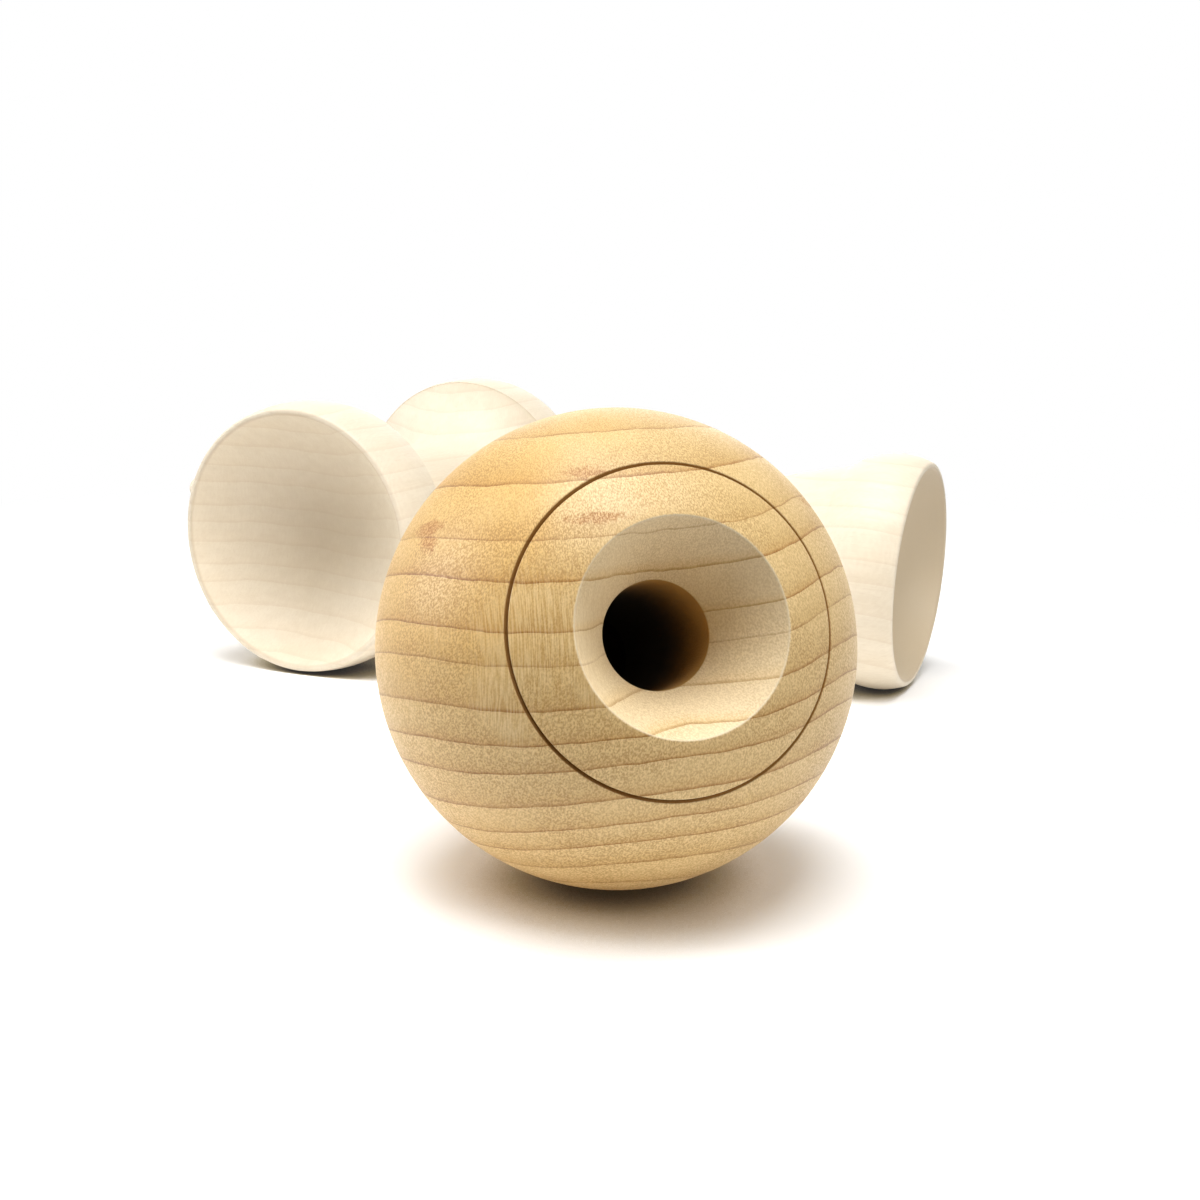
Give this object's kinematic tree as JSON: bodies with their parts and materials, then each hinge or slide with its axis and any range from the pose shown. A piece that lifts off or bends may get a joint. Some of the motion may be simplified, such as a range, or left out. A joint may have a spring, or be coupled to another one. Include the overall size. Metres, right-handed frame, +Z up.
{
  "type": "cup and ball toy",
  "caption": "Turned maple cup and ball toy: a handle with a spike and base cup, a cross-piece with two cups on a taper, and a ball with a bevelled hole.",
  "frame": {"origin": "on the floor below the middle of the whole toy as it lies", "axes": "+Z up; +X along the handle from the spike to the base cup; +Y along the cross-piece from the small cup to the big cup"},
  "size_m": [0.1888, 0.1754, 0.06],
  "materials": {
    "handle_wood": "bare turned pale maple, fine grain, satin",
    "cross_piece_wood": "bare turned pale maple, fine grain, satin",
    "ball_wood": "turned honey maple with thin brown growth rings, satin"
  },
  "bodies": {
    "handle": {"handle": "handle_wood"},
    "cross_piece": {"cross_piece": "cross_piece_wood"},
    "ball": {"ball": "ball_wood"}
  },
  "joints": [
    {"name": "cross_piece_slide", "type": "slide", "parent": "handle", "child": "cross_piece", "axis": [-0.999, 0, 0.0444], "range_m": [0, 0.08]},
    {"name": "ball_slide", "type": "slide", "parent": "handle", "child": "ball", "axis": [0.6753, -0.7375, 0], "range_m": [0, 0.2]}
  ]
}
